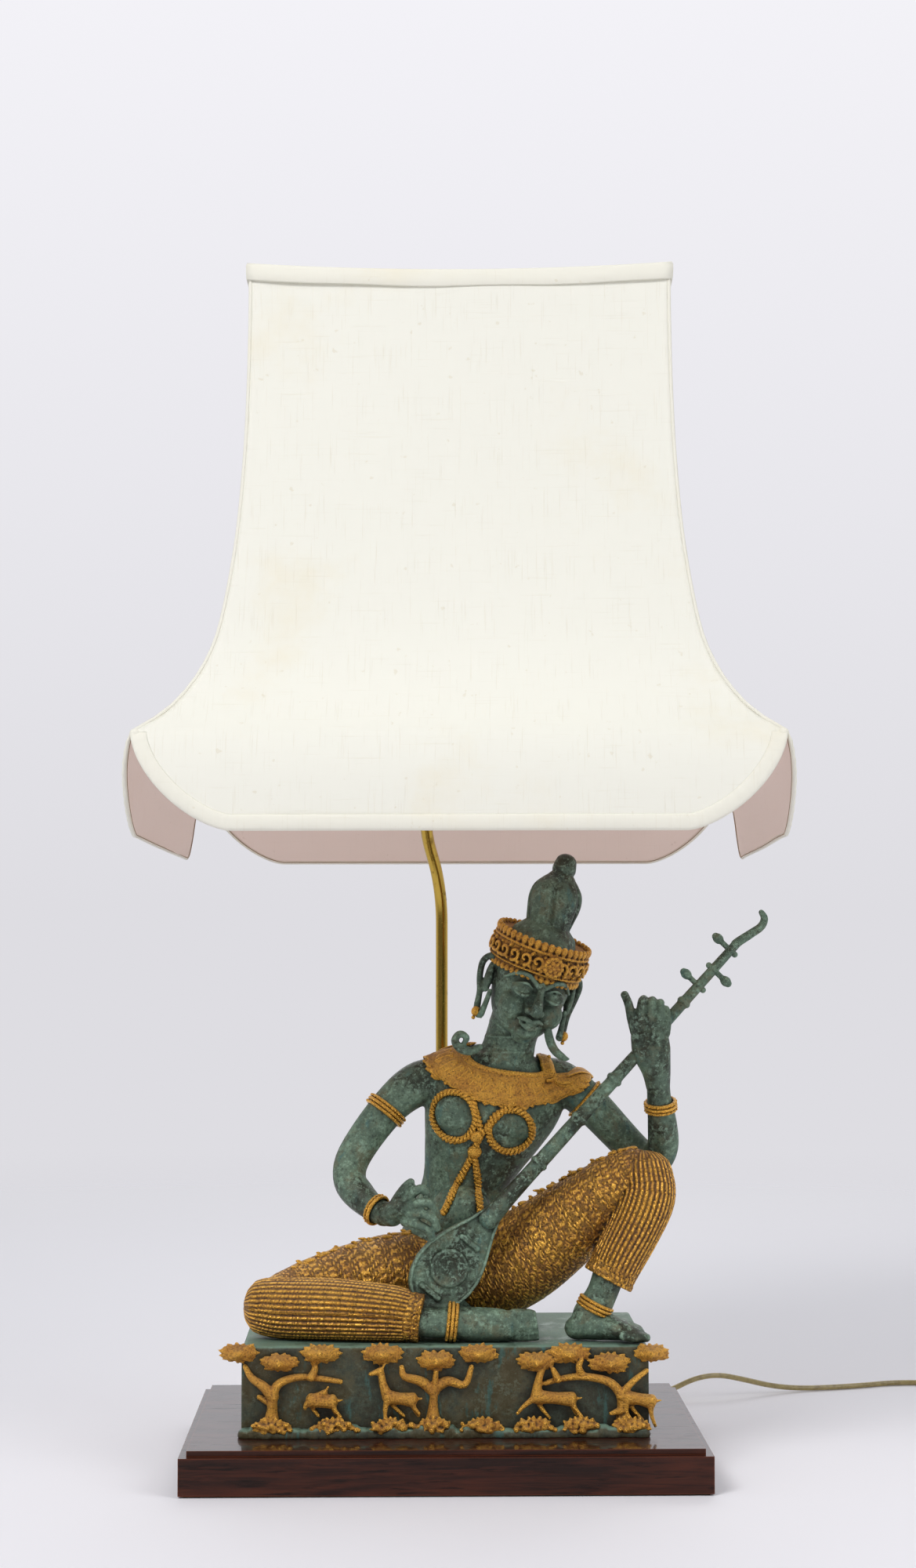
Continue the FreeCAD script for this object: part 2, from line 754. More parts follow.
def figure():
    """Cast in sections that meet face to face, each cut by the ones made before it."""
    torso = above_seat(limb(TORSO, sides=14, round_start=False, round_end=False))
    head_place = Placement(HEAD_CENTRE, Rotation(V(0, 1, 0), HEAD_TILT))
    head = head_solid()
    diadem = diadem_solid().cut(head)
    for shape in (head, diadem):
        shape.Placement = head_place
    head = trimmed(head, torso)

    raised = joined([limb(RAISED_THIGH), limb(RAISED_SHIN), limb(RAISED_ANKLE, sides=10)])
    raised = trimmed(above_seat(raised.fuse(limb(RAISED_FOOT, V(0, 1, 0), sides=10))), torso)
    folded = limb(FOLDED_THIGH, V(0, 1, 0)).fuse(limb(FOLDED_SHIN, V(0, 1, 0)))
    folded = folded.fuse(limb(FOLDED_FOOT, V(0, 0, 1), sides=10))
    folded = trimmed(above_seat(folded), torso, raised)

    plucking = trimmed(limb(PLUCKING_ARM, V(0, 1, 0), sides=10), torso)
    fretting = trimmed(limb(FRETTING_ARM, V(0, 1, 0), sides=10), torso, raised)
    return torso, head, diadem, raised, folded, plucking, fretting


LUTE_TIP = V(-24, -62, 27)
LUTE_TOP = V(39, -54, 97)
LUTE_HEAD = V(222, -27, 293)
LUTE_HALF_WIDTH = 27.0
LUTE_DEPTH = 24.0


def lute_frame():
    """The lute's own frame: X up its neck, Y across its soundboard and Z out of its front."""
    along = (LUTE_TOP - LUTE_TIP).normalize()
    front = V(0, -1, 0)
    across = front.cross(along).normalize()
    return Placement(LUTE_TIP, Rotation(along, across, along.cross(across), "XYZ"))


def looped(centre, along, radius, wire):
    """A flat loop of cord."""
    return band(centre, along, radius, wire, 14).cut(band(centre, along, radius - 3.0 * wire, wire * 1.2, 14))


def lute_body():
    """An almond soundbox: flat front, round back, sound ring and two bridges."""
    length = (LUTE_TOP - LUTE_TIP).Length

    def outline(share, back):
        w = LUTE_HALF_WIDTH * share
        shift = length * (1 - share) / 2
        tip, top = V(shift, 0, back), V(length - shift, 0, back)
        belly = shift + length * share * 0.42
        upper = Part.Arc(tip, V(belly, w, back), top).toShape()
        lower = Part.Arc(top, V(belly, -w, back), tip).toShape()
        return Part.Wire([upper, lower])

    sections = ((1.0, 0.0), (1.02, -5.0), (0.9, -13.0), (0.6, -20.0), (0.25, -LUTE_DEPTH))
    box = Part.makeLoft([outline(share, back) for share, back in sections], True, True)
    middle = length * 0.5
    ring = band((middle, 0, 0), (0, 0, 1), 11.5, 1.6).cut(band((middle, 0, 0), (0, 0, 1), 6.5, 3.0))
    inner = band((middle, 0, 0), (0, 0, 1), 5.0, 1.2)
    bridges = [
        Part.makeBox(3, 20, 2.4, V(middle + 20, -10, -0.4)),
        Part.makeBox(3, 20, 2.4, V(middle - 26, -10, -0.4)),
    ]
    return joined([box, ring, inner] + bridges)


def lute_neck(body):
    """A tapering neck with four collars and a curled head."""
    start = LUTE_TIP + (LUTE_TOP - LUTE_TIP) * 0.93
    run = LUTE_HEAD - start
    pieces = [bar(tuple(start), tuple(LUTE_HEAD), 5.6, 3.4, 8)]
    for share in (0.24, 0.42, 0.57, 0.7):
        spot = start + run * share
        step = V(run).normalize() * 2.0
        pieces.append(bar(tuple(spot - step), tuple(spot + step), 7.2, 7.2, 8))
    hook = [LUTE_HEAD, V(233, -26, 299), V(240, -26, 304), V(242, -26, 312)]
    for i, (a, b) in enumerate(zip(hook, hook[1:])):
        overlap = (b - a).normalize()
        pieces.append(bar(a - overlap, b + overlap, 3.4 - 0.3 * i, 3.1 - 0.3 * i, 8))
    return joined(pieces).cut(body)


def lute_pegs(neck):
    """Three tuning pegs let into the head of the neck."""
    start = LUTE_TIP + (LUTE_TOP - LUTE_TIP) * 0.93
    run = LUTE_HEAD - start
    side = V(-0.72, 0, 0.69)
    pegs = []
    for share, way in ((0.97, 1), (0.9, -1), (0.84, 1)):
        spot = start + run * share
        tip = spot + side * 15.0 * way
        pegs.append(bar(tuple(spot), tuple(tip), 1.7, 1.5, 8))
        pegs[-1] = pegs[-1].fuse(bar(tuple(tip), tuple(tip + side * 5.0 * way), 3.0, 2.2, 8))
    return pegs[0].multiFuse(pegs[1:]).cut(neck)


def build_figure():
    place = Placement(SEAT, Rotation())
    torso, head, diadem, raised, folded, plucking, fretting = figure()

    body = lute_body()
    body.Placement = lute_frame()
    body = trimmed(body, torso, folded, raised)
    neck = trimmed(lute_neck(body), raised)
    pegs = lute_pegs(neck)

    right_hand = hand(
        ((-43, -47, 91, 8.5, 8.5), (-33, -56, 91, 12, 8), (-20, -64, 90, 13, 8)),
        [
            (((-14, -68, 97), (-4, -72, 95), (2, -71, 88)), 4.0),
            (((-12, -68, 90), (-1, -71, 87), (3, -69, 80)), 4.0),
            (((-14, -67, 84), (-4, -70, 80), (0, -68, 74)), 3.8),
            (((-17, -66, 79), (-9, -69, 74), (-6, -67, 68)), 3.5),
        ],
        [(((-32, -58, 98), (-26, -63, 108), (-18, -66, 110)), 3.8)],
    )
    left_hand = hand(
        ((161, -30, 186, 9, 9), (159, -37, 200, 13, 9), (155, -42, 215, 17, 9), (152, -43, 226, 16, 8)),
        [
            (((142, -44, 228), (139, -44, 240), (137, -42, 248)), 4.0),
            (((149, -45, 232), (149, -45, 242), (149, -38, 246)), 4.0),
            (((157, -45, 231), (157, -45, 241), (157, -38, 245)), 4.0),
            (((165, -44, 227), (165, -44, 236), (165, -37, 240)), 3.6),
        ],
        [(((142, -38, 212), (135, -32, 219), (130, -26, 222)), 4.0)],
    )
    right_hand = trimmed(right_hand, body)
    plucking = trimmed(plucking, right_hand, body)
    left_hand = trimmed(left_hand, neck)
    fretting = trimmed(fretting, left_hand, neck)

    collar_slab = Part.makeBox(200, 200, 34, V(-100, -100, 0))
    collar_slab.Placement = Placement(V(40, 0, 172), Rotation(V(0, 1, 0), 13))
    wider = [(x, y, z, a + 3, b + 3) for x, y, z, a, b in TORSO]
    wide = limb(wider, sides=14, round_start=False, round_end=False)
    collar = trimmed(wide.common(collar_slab), torso, plucking, fretting, head)

    rings = [
        (band((-46, 1, 164), (-0.6, -0.15, -0.8), 15.0, 3.2), plucking),
        (band((-52, -39, 95), (0.75, -0.6, -0.4), 10.0, 2.6), plucking),
        (band((110, 9, 171), (0.74, -0.05, -0.66), 15.5, 3.2), fretting),
        (band((163, -26, 172), (-0.1, -0.3, 0.95), 10.0, 2.6), fretting),
        (band((118, -55.5, 38), (0.4, 0.05, 0.9), 11.5, 2.4), raised),
        (band((0, -61, 14.5), (1, 0, -0.1), 12.5, 2.4), folded),
    ]
    bangles = [trimmed(above_seat(ring), carrier, body, right_hand) for ring, carrier in rings]
    bangles = Part.makeCompound(bangles)

    chest = [
        looped((8, -24, 162), (-0.25, -1, 0.1), 17, 2.8),
        looped((50, -26, 152), (0.2, -1, 0.1), 16, 2.8),
        bar((24, -29, 176), (27, -27, 148), 2.8, 2.8, 8),
        bar((27, -27, 148), (22, -20, 130), 4.5, 4.0, 8),
        bar((22, -20, 132), (2, -16, 92), 2.6, 2.2, 8),
        bar((22, -20, 132), (25, -18, 92), 2.6, 2.2, 8),
    ]
    knot = joined(chest).cut(torso).cut(collar).cut(body).cut(right_hand)

    for label, shape in (
        ("figure_torso", torso),
        ("figure_head", head),
        ("figure_diadem", diadem.cut(torso)),
        ("leg_raised", raised),
        ("leg_folded", folded),
        ("arm_plucking", plucking),
        ("arm_fretting", fretting),
        ("hand_plucking", right_hand),
        ("hand_fretting", left_hand),
        ("figure_collar", collar),
        ("figure_bangles", bangles),
        ("chest_cord", knot),
        ("lute_body", body),
        ("lute_neck", neck),
        ("lute_pegs", pegs),
    ):
        feature(label, shape, place)


# ---------------------------------------------------------------- the brass tube and its lead

SADDLE = V(size("saddle_x"), size("saddle_y"), size("base_top") + size("saddle_rise"))
LEANING = (
    Rotation(V(1, 0, 0), -size("shade_lean")) * Rotation(V(0, 1, 0), -size("shade_roll"))
)
UPPER = Placement(SADDLE, LEANING)
SHADE = Placement(SADDLE, LEANING * Rotation(V(0, 0, 1), -size("shade_turn")))
# Hand-bent corners of the tube, from the seat of the lamp holder.
TUBE_BENDS = (V(-14, 94, -178), V(-30, 62, -126), V(-20, 24, -78))
TUBE_ABOVE_SEAT = 6.0


def upper_point(height):
    """A point on the leaning axis, so far above the lamp holder's seat."""
    return UPPER.multVec(V(0, 0, height))


def tube_route(low):
    back = size("tube_back")
    bends = [SADDLE + bend for bend in TUBE_BENDS]
    bends[0] = V(0, back, bends[0].z)
    bends[1] = V(bends[1].x, min(bends[1].y, back), bends[1].z)
    return [V(0, back, low)] + bends + [upper_point(-32), upper_point(TUBE_ABOVE_SEAT)]


def tube_and_lead():
    recess_top = size("felt_thick") + size("recess_depth")
    low = recess_top - size("washer_thick") - size("nut_height") - 2.0
    path, radii = rounded_path(tube_route(low))
    outer = rod(path, size("tube_size") / 2)
    feature("brass_tube", outer.cut(rod(path, size("tube_bore") / 2)))
    report_rod("brass tube", path, outer, size("tube_size") / 2, radii)

    lead_radius = size("lead_size") / 2
    route = tube_route(low - 1.0)
    corner = V(0, size("tube_back"), size("cord_height") - 3.4)
    entry = V(0, size("base_depth") / 2 - 6.0, size("cord_height"))
    lead_path, _ = rounded_path([entry, entry - V(0, 8, 0), corner] + route[1:])
    feature("inner_lead", rod(lead_path, lead_radius))


def base_hardware():
    recess_top = "(sizes.felt_thick + sizes.recess_depth)"
    washer = cut(
        "washer_ring",
        bound(
            "Part::Cylinder",
            "washer_disc",
            Radius="sizes.washer_width / 2",
            Height="sizes.washer_thick",
            y="sizes.tube_back",
            z=f"{recess_top} - sizes.washer_thick",
        ),
        bound(
            "Part::Cylinder",
            "washer_bore",
            Radius="sizes.tube_size / 2",
            Height="sizes.base_top",
            y="sizes.tube_back",
        ),
    )
    keep("tube_washer", washer)
    nut = cut(
        "base_nut_ring",
        bound(
            "Part::Prism",
            "base_nut_hexagon",
            Circumradius="sizes.nut_width / sqrt(3)",
            Height="sizes.nut_height",
            y="sizes.tube_back",
            z=f"{recess_top} - sizes.washer_thick - sizes.nut_height",
        ),
        bound(
            "Part::Cylinder",
            "base_nut_bore",
            Radius="sizes.tube_size / 2",
            Height="sizes.base_top",
            y="sizes.tube_back",
        ),
    )
    keep("tube_nut", nut)
    flange = cut(
        "flange_ring",
        bound(
            "Part::Cone",
            "flange_cone",
            Radius1="sizes.flange_width / 2",
            Radius2="sizes.tube_size / 2 + 2",
            Height="sizes.flange_height",
            y="sizes.tube_back",
            z="sizes.base_top",
        ),
        bound(
            "Part::Cylinder",
            "flange_bore",
            Radius="sizes.tube_size / 2",
            Height="2 * sizes.base_top",
            y="sizes.tube_back",
        ),
    )
    keep("tube_flange", flange)


# ---------------------------------------------------------------- lamp holder, harp and bulb


def lamp_holder():
    """From the seat up: lock nut, harp saddle, cap, shell, liner, insulator and screw shell."""
    tube = size("tube_size") / 2
    strip = size("strip_thick")
    outer = size("holder_size") / 2
    wall = size("holder_wall")
    cap_top = strip + size("cap_height")
    shoulder = cap_top - 3.0
    shell_top = shoulder + size("shell_height")

    nut = Part.makePolygon(
        [
            V(math.cos(k * math.pi / 3), math.sin(k * math.pi / 3), 0) * size("nut_width") / math.sqrt(3)
            for k in range(7)
        ]
    )
    nut = Part.Face(nut).extrude(V(0, 0, size("nut_height")))
    nut = nut.cut(Part.makeCylinder(tube, 20, V(0, 0, -5)))
    nut.translate(V(0, 0, -size("nut_height")))
    feature("saddle_nut", nut, UPPER)

    half, ear = size("saddle_span") / 2, size("saddle_ear")
    width = size("saddle_strip")
    profile = [
        V(-half, 0, ear),
        V(-half, 0, 0),
        V(half, 0, 0),
        V(half, 0, ear),
        V(half - strip, 0, ear),
        V(half - strip, 0, strip),
        V(strip - half, 0, strip),
        V(strip - half, 0, ear),
    ]
    saddle = Part.Face(Part.makePolygon(profile + profile[:1])).extrude(V(0, width, 0))
    saddle.translate(V(0, -width / 2, 0))
    feature("harp_saddle", saddle.cut(barrel(tube, -1, strip + 1)), UPPER)

    cap = turned(
        (tube, strip),
        (tube + 3, strip),
        (tube + 3, strip + 4),
        (outer - 3, strip + 8),
        (outer, strip + 12),
        (outer, cap_top),
        (outer - wall, cap_top),
        (outer - wall, shoulder),
        (outer - 2 * wall, shoulder),
        (outer - 2 * wall, strip + 12.5),
        (outer - 3.4, strip + 9),
        (tube + 2, strip + 5),
        (tube, strip + 5),
    )
    feature("socket_cap", cap, UPPER)

    shell_outer = outer - wall
    liner_outer = shell_outer - wall
    liner_inner = liner_outer - size("liner_thick")
    stem_height = shoulder + 9.0
    stem_hole = Part.makeCylinder(2.2, outer + 5, V(0, 0, stem_height), V(0, -1, 0))
    shell = barrel(shell_outer, shoulder, shell_top, shell_outer - wall).cut(stem_hole)
    feature("socket_shell", shell, UPPER)
    liner = barrel(liner_outer, shoulder, shell_top - 1, liner_inner).cut(stem_hole)
    feature("socket_liner", liner, UPPER)

    floor = shoulder + 16.0
    screw_outer = size("screw_shell_size") / 2
    insulator = barrel(liner_inner, shoulder, floor - 1.0)
    insulator = insulator.cut(Part.makeCylinder(2.2, outer, V(0, -4, stem_height), V(0, -1, 0)))
    lead_room = Part.makeCylinder(size("lead_size") / 2 + 0.5, 4, V(0, 0, shoulder - 1))
    feature("socket_insulator", insulator.cut(lead_room), UPPER)
    screw_shell = barrel(screw_outer, floor - 1.0, shell_top - 4, screw_outer - size("screw_shell_wall"))
    feature("screw_shell", screw_shell, UPPER)
    feature("centre_contact", barrel(4.0, floor - 1.0, floor + 0.4), UPPER)

    knob_start = outer + 1.0
    stem = Part.makeCylinder(1.6, knob_start - 4.4 + 4.0, V(0, -4.4, stem_height), V(0, -1, 0))
    knob_end = knob_start + size("knob_length")
    knob = turned(
        (0, knob_start),
        (size("knob_size") / 2 - 1.5, knob_start),
        (size("knob_size") / 2, knob_start + 3),
        (size("knob_size") / 2 - 0.8, knob_end - 1),
        (size("knob_size") / 2 - 2, knob_end),
        (0, knob_end),
    )
    knob.rotate(V(), V(1, 0, 0), 90)
    knob.translate(V(0, 0, stem_height))
    feature("switch_knob", knob.fuse(stem), UPPER)

    gap = 0.06
    cap_radius = screw_outer - size("screw_shell_wall") - gap
    base = floor + 0.5
    neck_z = base + 24
    thread = ((cap_radius, base + 5), (cap_radius, neck_z))
    bulb_cap = turned((0, base), (4, base), (cap_radius - 3, base + 4), *thread, (0, neck_z))
    feature("bulb_cap", bulb_cap, UPPER)
    bulb_top = base + size("bulb_length")
    half_bulb = size("bulb_size") / 2
    centre = bulb_top - half_bulb
    glass = Part.BSplineCurve()
    glass.interpolate(
        [V(12.5, 0, neck_z), V(15, 0, neck_z + 14), V(24, 0, centre - 20), V(half_bulb, 0, centre)],
        InitialTangent=V(0, 0, 1),
        FinalTangent=V(0, 0, 1),
    )
    dome = Part.Arc(
        V(half_bulb, 0, centre),
        V(half_bulb * math.sqrt(0.5), 0, centre + half_bulb * math.sqrt(0.5)),
        V(0, 0, bulb_top),
    )
    outline = [
        glass.toShape(),
        dome.toShape(),
        Part.LineSegment(V(0, 0, bulb_top), V(0, 0, neck_z)).toShape(),
        Part.LineSegment(V(0, 0, neck_z), V(12.5, 0, neck_z)).toShape(),
    ]
    bulb = Part.Face(Part.Wire(outline)).revolve(V(), V(0, 0, 1), 360)
    feature("bulb_glass", bulb, UPPER)


def harp():
    height, half = size("harp_height"), size("harp_width") / 2
    wire = size("harp_wire") / 2
    strip = size("strip_thick")
    foot = size("saddle_span") / 2 - strip - wire
    route = [
        V(foot, 0, strip),
        V(foot, 0, 16),
        V(half * 0.8, 0, 44),
        V(half, 0, 96),
        V(half * 0.93, 0, 150),
        V(half * 0.62, 0, 200),
        V(half * 0.3, 0, height - 6),
        V(0, 0, height - 3.5),
    ]
    path, _ = rounded_path(route)
    leg = rod(path, wire)
    other = leg.mirror(V(), V(1, 0, 0))
    block = barrel(5.0, height - 7, height)
    stud = barrel(size("stud_size") / 2, height - 1, height + size("stud_length"))
    feature("harp", leg.multiFuse([other, block, stud]), UPPER)

    ferrules = []
    for side in (-1, 1):
        sleeve = barrel(
            size("ferrule_size") / 2, strip, strip + size("ferrule_length"), wire + 0.05
        )
        sleeve.translate(V(side * foot, 0, 0))
        ferrules.append(sleeve)
    rings = ferrules[0].fuse(ferrules[1])
    for side in (-1, 1):
        beyond = Part.makeBox(10, 30, 40, V(foot + wire * 0.6, -15, 0))
        if side < 0:
            beyond = beyond.mirror(V(), V(1, 0, 0))
        rings = rings.cut(beyond)
    feature("harp_ferrules", rings, UPPER)


def finial():
    seat = size("harp_height") + 1.7
    top = seat + size("finial_height")
    half = size("finial_size") / 2
    bore = size("stud_size") / 2 + 0.05
    inside = seat + size("stud_length") + 1
    solid = turned(
        (bore, seat),
        (half * 0.9, seat),
        (half * 0.9, seat + 2),
        (half * 0.6, seat + 4),
        (half * 0.6, seat + 8),
        (half, seat + 13),
        (half * 0.85, seat + 18),
        (half * 0.4, top - 5),
        (half * 0.35, top - 1),
        (0, top),
        (0, inside),
        (bore, inside),
    )
    feature("finial", solid, UPPER)


# ---------------------------------------------------------------- shade

# A side's curve: height above its flat bottom edge, and how far that is inside the bottom's half width.
FLARE_HEIGHT, FLARE_TOP, FLARE_SPREAD = 400.0, 378.0, 83.6
FLARE = ((311, 83.2), (270, 81.3), (230, 77.6), (190, 72.8), (160, 66.9), (130, 59.5), (112, 52.8))
FLARE += ((92, 39.0), (75, 24.5), (62, 14.5), (47, 8.8), (31, 5.0), (12, 1.3))


def side_profile(inset):
    """A side's curve from the top edge down to the flat bottom, moved inwards by `inset`."""
    top = size("shade_height")
    half_top, half_bottom = size("top_half") - inset, size("bottom_half") - inset
    scale = (size("bottom_half") - size("top_half")) / FLARE_SPREAD
    low = size("harp_height") + size("shade_recess") - top
    lift = top / FLARE_HEIGHT
    points = [V(half_bottom - away * scale, 0, low + height * lift) for height, away in FLARE]
    points = [V(half_top, 0, low + FLARE_TOP * lift)] + points + [V(half_bottom, 0, low)]
    curve = Part.BSplineCurve()
    curve.interpolate(points, InitialTangent=V(0, 0, -1), FinalTangent=V(0.06, 0, -1).normalize())
    straight = Part.LineSegment(V(half_top, 0, low + top), points[0])
    return straight, curve


def side_strip(outside, inside):
    """A solid strip along Y between two copies of the profile."""
    (top_a, curve_a), (top_b, curve_b) = side_profile(outside), side_profile(inside)
    high = Part.LineSegment(top_a.StartPoint, top_b.StartPoint)
    low = Part.LineSegment(curve_a.EndPoint, curve_b.EndPoint)
    edges = [e.toShape() for e in (top_a, curve_a, low, curve_b, top_b, high)]
    face = Part.Face(Part.Wire(Part.__sortEdges__(edges)))
    strip = face.extrude(V(0, 520, 0))
    strip.translate(V(0, -260, 0))
    return strip


def side_outline(inset):
    """What a side looks like from in front, extruded across the side it belongs to."""
    top, curve = side_profile(inset)
    low = size("harp_height") + size("shade_recess") - size("shade_height")
    across, rise = size("corner_across"), size("corner_rise")
    at = curve.parameter(V(size("bottom_half") - size("tip_away"), 0, low + rise))
    tip = curve.value(at)
    flare = curve.copy()
    flare.segment(curve.FirstParameter, at)
    flat = size("bottom_half") - across
    flat_end = V(flat, 0, low)
    side = tip.x - flat
    high = tip.z - low
    # Below the tips each corner is rounded off by a quarter of an ellipse.
    rounded = Part.BSplineCurve()
    rounded.interpolate(
        [
            V(flat + side * math.cos(t), 0, tip.z - high * math.sin(t))
            for t in (math.radians(15 * k) for k in range(7))
        ]
    )
    half = [top.toShape(), flare.toShape(), rounded.toShape()]
    other = [e.mirror(V(), V(1, 0, 0)) for e in half]
    bottom = Part.LineSegment(flat_end, V(-flat, 0, low)).toShape()
    crown = Part.LineSegment(top.StartPoint, V(-top.StartPoint.x, 0, top.StartPoint.z)).toShape()
    face = Part.Face(Part.Wire(Part.__sortEdges__(half + other + [bottom, crown])))
    prism = face.extrude(V(0, 300, 0))
    prism.rotate(V(), V(0, 0, 1), -90)
    return prism


def shade_panels():
    """Front and back run the full width; the two sides fit between them, face to face."""
    thick = size("shade_thick")
    strip = side_strip(0.0, thick)
    wide = strip.common(side_outline(0.0))
    narrow = strip.common(side_outline(thick))
    for label, solid, turn in (
        ("shade_panel_front", wide, -90),
        ("shade_panel_back", wide, 90),
        ("shade_panel_right", narrow, 0),
        ("shade_panel_left", narrow, 180),
    ):
        panel = solid.copy()
        panel.rotate(V(), V(0, 0, 1), turn)
        feature(label, panel, SHADE)


def shade_top_binding():
    half = size("top_half")
    outer = half + size("binding_thick")
    top = size("harp_height") + size("shade_recess")
    width = size("binding_width")
    ring = Part.makeBox(2 * outer, 2 * outer, width, V(-outer, -outer, top - width))
    hole = Part.makeBox(2 * half, 2 * half, width + 2, V(-half, -half, top - width - 1))
    feature("shade_top_binding", ring.cut(hole), SHADE)


def shade_frame():
    """Spider washer, four arms, the square top ring and a rib down each corner."""
    seat = size("harp_height") + 0.1
    top = size("harp_height") + size("shade_recess")
    wire = size("frame_wire") / 2
    thick = size("shade_thick")
    solder_size = wire * 1.3
    half = size("top_half") - thick - solder_size - 0.1
    ring_height = top - wire - 1.0
    washer = barrel(size("spider_washer") / 2, seat, seat + 1.5, size("stud_size") / 2 + 0.25)
    pieces = [washer]
    for k in range(4):
        angle = k * math.pi / 2
        out = V(math.cos(angle), math.sin(angle), 0)
        side = V(-out.y, out.x, 0)
        start = out * (size("spider_washer") / 2 - 2) + V(0, 0, seat + wire + 0.3)
        bend = out * 34 + V(0, 0, seat + wire + 0.8)
        end = out * half + V(0, 0, ring_height)
        pieces.append(rod(rounded_path([start, bend, end])[0], wire))
        edge = Part.LineSegment(out * half - side * half, out * half + side * half)
        line = Part.Wire(edge.toShape())
        line.translate(V(0, 0, ring_height))
        pieces.append(rod(line, wire))
        solder = Part.makeSphere(solder_size, out * half + side * half + V(0, 0, ring_height))
        pieces.append(solder)
    low = size("harp_height") + size("shade_recess") - size("shade_height")
    _, curve = side_profile(thick + 2 * wire + 1.2)
    heights = (378, 300, 230, 170, 130, 105, 84, 68)
    route = []
    for height in heights:
        spot = curve.intersectCC(
            Part.LineSegment(V(0, 0, low + height), V(400, 0, low + height))
        )[0]
        route.append(V(spot.X, spot.X, spot.Z))
    start = V(half, half, ring_height)
    path, _ = rounded_path([start] + route)
    rib = rod(path, wire * 0.8)
    for k in range(4):
        corner = rib.copy()
        corner.rotate(V(), V(0, 0, 1), 90 * k)
        pieces.append(corner)
    frame = pieces[0].multiFuse(pieces[1:])
    feature("shade_frame", frame, SHADE)


# ---------------------------------------------------------------- cord, coil and plug

CORD_ROUTE = (
    # straight out of the bushing, along the back of the base, over the low hump, then away
    (0, 172, 11),
    (9, 191, 6.6),
    (27, 204, 3.4),
    (53, 211, 2.5),
    (84, 213, 2.45),
    (117, 211, 2.5),
    (147, 210, 2.8),
    (176, 213, 4.6),
    (197, 217, 10.5),
    (216, 223, 18.5),
    (237, 229, 20.5),
    (260, 238, 14.5),
    (286, 250, 6.5),
    (312, 260, 2.8),
    (340, 266, 2.5),
    (368, 275, 2.45),
    (394, 286, 2.5),
    (420, 287, 2.5),
    (446, 279, 2.45),
)
COIL_CENTRE = (494.0, 304.0)
COIL_IN_TURNS = 3.5
COIL_OUT_TURNS = 3.25
COIL_TAIL = 17.0


def biarc(p0, t0, p1, t1):
    """Two arcs that join p0 to p1 with the given headings."""
    chord, both = p1 - p0, t0 + t1
    a = 2 * (t0.dot(t1) - 1)
    b = -2 * chord.dot(both)
    c = chord.dot(chord)
    d = -c / b if abs(a) < 1e-9 else (-b - math.sqrt(b * b - 4 * a * c)) / (2 * a)
    joint = (p0 + t0 * d + p1 - t1 * d) / 2
    arcs = []
    for start, heading, end in ((p0, t0, joint), (p1, -t1, joint)):
        span = end - start
        angle = heading.getAngle(span)
        lift = span.Length / 2 * math.tan(angle / 2)
        out = (heading - V(span).normalize() * math.cos(angle)).normalize()
        middle = start + span / 2 + out * lift
        arc = (start, middle, end) if start is p0 else (end, middle, start)
        arcs.append(Part.Arc(*arc).toShape())
    return arcs


def coil_point(turns):
    """Where the coil's centreline is after so many turns: in, half a turn up, and out again."""
    pitch = size("flex_size") + size("coil_gap")
    inner, low = size("coil_inside"), size("flex_size") / 2
    climb = COIL_IN_TURNS + 0.5
    if turns <= COIL_IN_TURNS:
        radius, height = inner + pitch * (COIL_IN_TURNS - turns), low
    elif turns <= climb:
        share = (turns - COIL_IN_TURNS) / 0.5
        radius, height = inner, low + pitch * (1 - math.cos(math.pi * share)) / 2
    else:
        radius, height = inner + pitch * (turns - climb), low + pitch
    angle = 2 * math.pi * turns - math.pi / 2
    return V(
        COIL_CENTRE[0] + radius * math.cos(angle),
        COIL_CENTRE[1] + radius * math.sin(angle),
        height,
    )


def coil_path():
    """Straight ends, with biarcs of a quarter turn between them."""
    total = COIL_IN_TURNS + 0.5 + COIL_OUT_TURNS
    steps = [k * 0.25 for k in range(int(total / 0.25) + 1)]
    points = [coil_point(t) for t in steps]
    headings = []
    for t in steps:
        ahead, behind = min(t + 1e-4, total), max(t - 1e-4, 0)
        headings.append((coil_point(ahead) - coil_point(behind)).normalize())
    start = V(1, 0, 0)
    headings[0] = V(start)
    end = V(headings[-1].x, headings[-1].y, 0).normalize()
    headings[-1] = end
    lead_in = Part.LineSegment(points[0] - start * size("flex_size"), points[0]).toShape()
    edges = [lead_in]
    for i in range(len(points) - 1):
        edges += biarc(points[i], headings[i], points[i + 1], headings[i + 1])
    tail = points[-1] + end * COIL_TAIL
    edges.append(Part.LineSegment(points[-1], tail).toShape())
    return Part.Wire(edges), points[0] - start * size("flex_size"), tail, end


def least_gap(path, radius):
    """The least distance between stretches of a tube that aren't neighbours."""
    step = 2.0
    points = path.discretize(Number=int(path.Length / step))
    skip = int(4 * radius / step) + 3
    least = 1e9
    for i in range(0, len(points), 2):
        for j in range(i + skip, len(points), 2):
            least = min(least, (points[i] - points[j]).Length)
    return least - 2 * radius


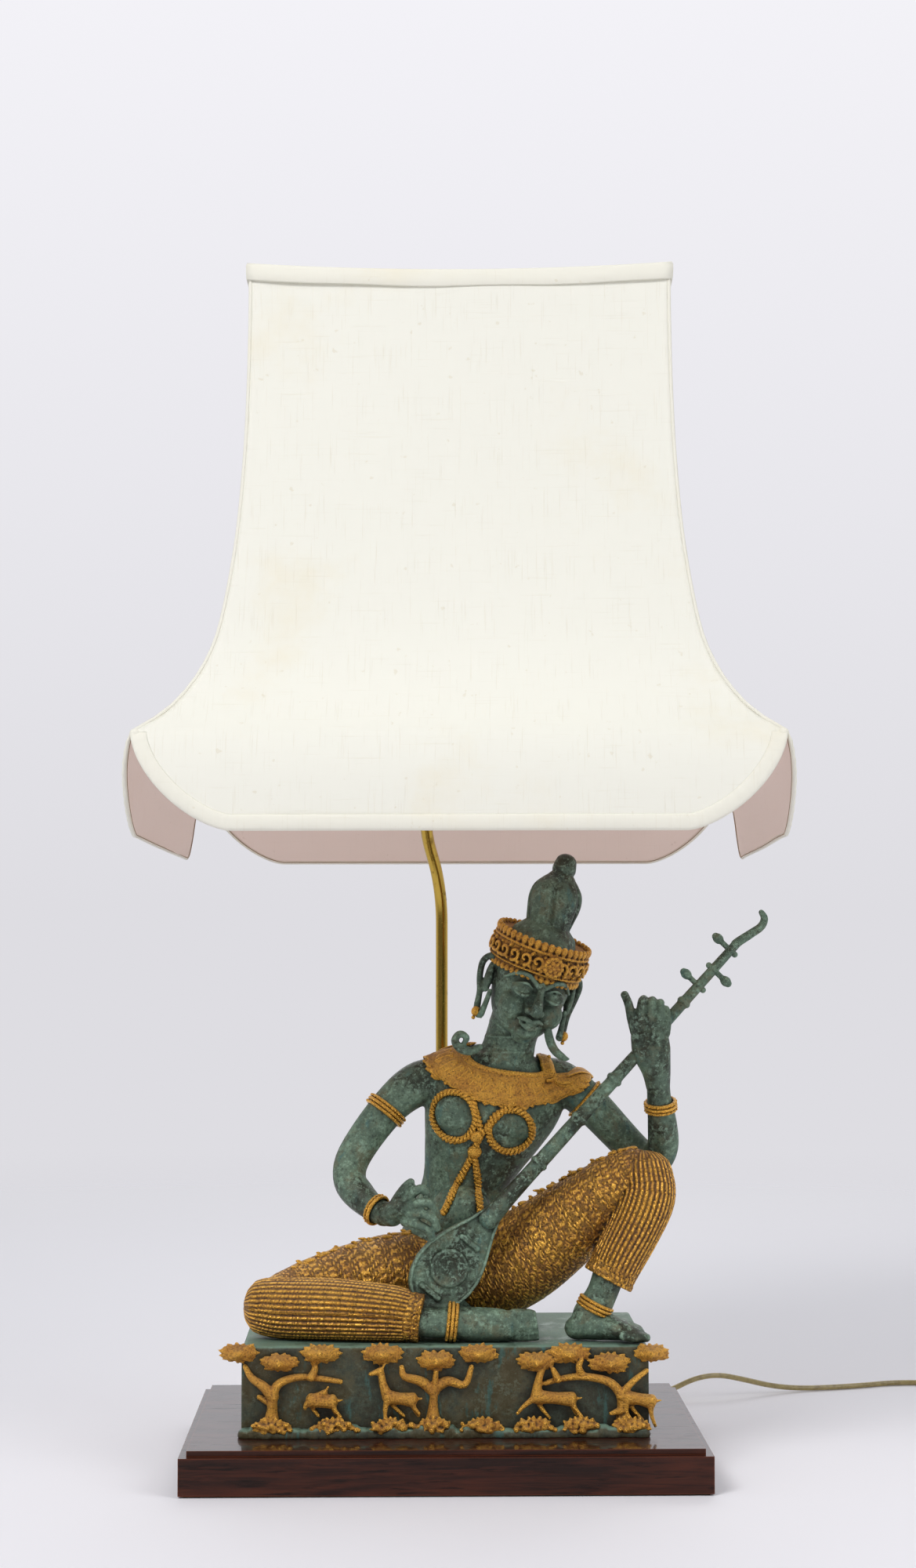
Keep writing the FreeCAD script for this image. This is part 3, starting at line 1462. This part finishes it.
def cord_and_plug():
    radius = size("flex_size") / 2
    back = size("base_depth") / 2
    exit_height = size("cord_height")
    bushing_end = V(0, back + size("bushing_length"), exit_height)

    path, coil_start, tail, heading = coil_path()
    coil = rod(path, radius)
    feature("cord_coil", coil)
    gap = least_gap(path, radius)
    report_rod("cord coil", path, coil, radius, [size("coil_inside")])
    print(f"cord coil: least gap to itself {gap:.2f} mm")
    if gap < 0.4:
        raise RuntimeError("the coil's turns touch")

    route = [bushing_end] + [V(*point) for point in CORD_ROUTE]
    route += [coil_start - V(18, 0, 0), coil_start]
    lead_path, radii = rounded_path(route)
    lead = rod(lead_path, radius)
    feature("cord_lead", lead)
    report_rod("cord lead", lead_path, lead, radius, radii)
    print(f"cord: {(path.Length + lead_path.Length) / 1000:.2f} m from the bushing to the plug")

    hole = size("cord_hole") / 2
    bushing = turned(
        (radius, -6.0),
        (hole - 0.1, -6.0),
        (hole - 0.1, 0.0),
        (hole + 2.2, 0.0),
        (hole + 2.2, 2.5),
        (hole + 0.4, 3.5),
        (radius + 1.0, size("bushing_length")),
        (radius, size("bushing_length")),
    )
    inside = Part.LineSegment(V(0, 0, -6), V(0, 0, size("bushing_length"))).toShape()
    turn = Placement(V(0, back, exit_height), Rotation(V(1, 0, 0), -90))
    feature("cord_bushing", bushing, turn)
    feature("bushing_lead", rod(Part.Wire(inside), radius), turn)
    plug(tail, heading)


def plug(tail, heading):
    """A flat two-pin plug with a tapered neck."""
    length = size("plug_length")
    radius = size("flex_size") / 2
    neck = 16.0
    rings = []
    for along, half_wide, half_thick in (
        (0, radius + 0.6, radius + 0.6),
        (neck, 6.0, 5.0),
        (neck + 5, 11.0, 6.2),
        (length, 12.0, 6.4),
    ):
        ring = [V(sx * half_wide, along, sz * half_thick) for sx, sz in ((-1, -1), (1, -1), (1, 1), (-1, 1))]
        rings.append(Part.makePolygon(ring + ring[:1]))
    body = Part.makeLoft(rings, True, True)
    angle = math.degrees(math.atan2(heading.y, heading.x)) - 90
    place = Placement(tail, Rotation(V(0, 0, 1), angle))
    feature("plug_body", body, place)
    blades = [Part.makeBox(1.5, 17, 6.4, V(side * 6.35 - 0.75, length, -3.2)) for side in (-1, 1)]
    feature("plug_blades", Part.makeCompound(blades), place)


# ---------------------------------------------------------------- build, check and write


def main():
    wood_base()
    felt_pad()
    pedestal()
    pedestal_screws()
    pedestal_frieze()
    build_figure()
    tube_and_lead()
    base_hardware()
    lamp_holder()
    harp()
    finial()
    shade_panels()
    shade_top_binding()
    shade_frame()
    cord_and_plug()
    doc.recompute()

    for thing in doc.Objects:
        if {"Invalid", "Error"} & set(thing.State):
            raise RuntimeError(f"{thing.Label} failed")
    for label, thing in nodes.items():
        shape = thing.Shape
        if shape.isNull() or not shape.isValid() or shape.Volume < 1:
            raise RuntimeError(f"{label} has no valid solid")
        shape.exportStep(f"parts/{label}.step")
    print(f"{len(nodes)} sub-parts")


main()
